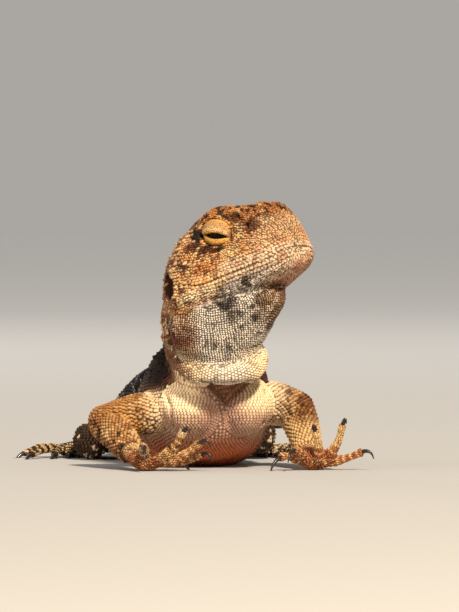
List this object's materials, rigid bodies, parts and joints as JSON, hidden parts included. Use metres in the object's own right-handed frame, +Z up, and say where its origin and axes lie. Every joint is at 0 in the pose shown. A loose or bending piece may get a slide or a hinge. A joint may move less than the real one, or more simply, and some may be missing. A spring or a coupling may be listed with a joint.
{
  "type": "slater's ring-tailed dragon lizard model",
  "caption": "Still life-size ring-tailed dragon lizard, chest raised on its arms, head lifted and turned, tail laid on the floor.",
  "frame": {"origin": "middle of the bounding box on the floor that the lizard rests on", "axes": "+Z up, -Y the way the chest faces, +Y towards the tail"},
  "size_m": [0.0646, 0.2316, 0.0471],
  "materials": {
    "skin_head": "small keeled scales, buff with brown flecks",
    "skin_throat": "fine granular scales, pale grey with dark marbling",
    "skin_chest": "small overlapping scales, cream",
    "skin_back": "small scales, blackish brown with pale flecks",
    "skin_limb": "overlapping keeled scales, tan orange",
    "skin_tail": "keeled scales in rings, tan with dark rings",
    "eyeball": "wet, glossy, nearly black",
    "claw": "smooth dark horn"
  },
  "bodies": {
    "root": {"head": "skin_head", "throat": "skin_throat", "neck": "skin_chest", "chest": "skin_chest", "belly": "skin_back", "hips": "skin_back", "tail_root": "skin_tail", "tail_fore": "skin_tail", "tail_rear": "skin_tail", "tail_tip": "skin_tail", "upper_arm_right": "skin_limb", "forearm_right": "skin_limb", "hand_right": "skin_limb", "upper_arm_left": "skin_limb", "forearm_left": "skin_limb", "hand_left": "skin_limb", "thigh_right": "skin_limb", "shank_right": "skin_limb", "foot_right": "skin_limb", "thigh_left": "skin_limb", "shank_left": "skin_limb", "foot_left": "skin_limb", "eye_right": "eyeball", "eye_left": "eyeball"}
  },
  "joints": []
}
